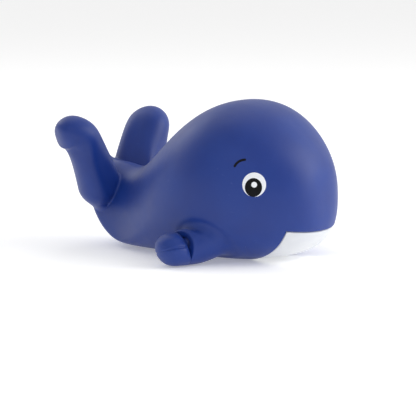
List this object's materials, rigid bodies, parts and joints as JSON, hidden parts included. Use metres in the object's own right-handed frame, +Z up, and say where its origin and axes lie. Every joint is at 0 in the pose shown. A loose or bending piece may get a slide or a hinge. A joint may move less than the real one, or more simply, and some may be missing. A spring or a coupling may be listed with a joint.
{
  "type": "bath toy whale",
  "caption": "Hollow soft vinyl bath toy shaped like a whale, with a white chin, upright tail flukes, swivelling flippers and a squirt hole in its flat belly.",
  "frame": {"origin": "under the middle of the whole toy, on the plane that it rests on", "axes": "+X towards the nose, +Y towards the toy's left side, +Z up"},
  "size_m": [0.1274, 0.1062, 0.0696],
  "materials": {
    "blue_vinyl": "satin soft vinyl, evenly coloured navy blue",
    "white_vinyl": "satin soft vinyl, white",
    "white_print": "smooth flexible ink, white",
    "black_print": "smooth flexible ink, black"
  },
  "bodies": {
    "body": {"body_shell": "blue_vinyl", "chin": "white_vinyl", "squirt_nozzle": "blue_vinyl", "left_fluke": "blue_vinyl", "right_fluke": "blue_vinyl", "left_eye_white": "white_print", "right_eye_white": "white_print", "left_pupil": "black_print", "right_pupil": "black_print", "left_eye_glint": "white_print", "right_eye_glint": "white_print", "left_brow": "black_print", "right_brow": "black_print"},
    "left_flipper": {"left_flipper": "blue_vinyl"},
    "right_flipper": {"right_flipper": "blue_vinyl"}
  },
  "joints": [
    {"name": "left_flipper_swivel", "type": "hinge", "parent": "body", "child": "left_flipper", "pos_m": [0.01688, 0.04147, 0.00854], "axis": [-0.3708, 0.9068, -0.2004], "range_deg": [-60, 60]},
    {"name": "right_flipper_swivel", "type": "hinge", "parent": "body", "child": "right_flipper", "pos_m": [0.01688, -0.04147, 0.00854], "axis": [0.3708, 0.9068, 0.2004], "range_deg": [-60, 60]}
  ]
}
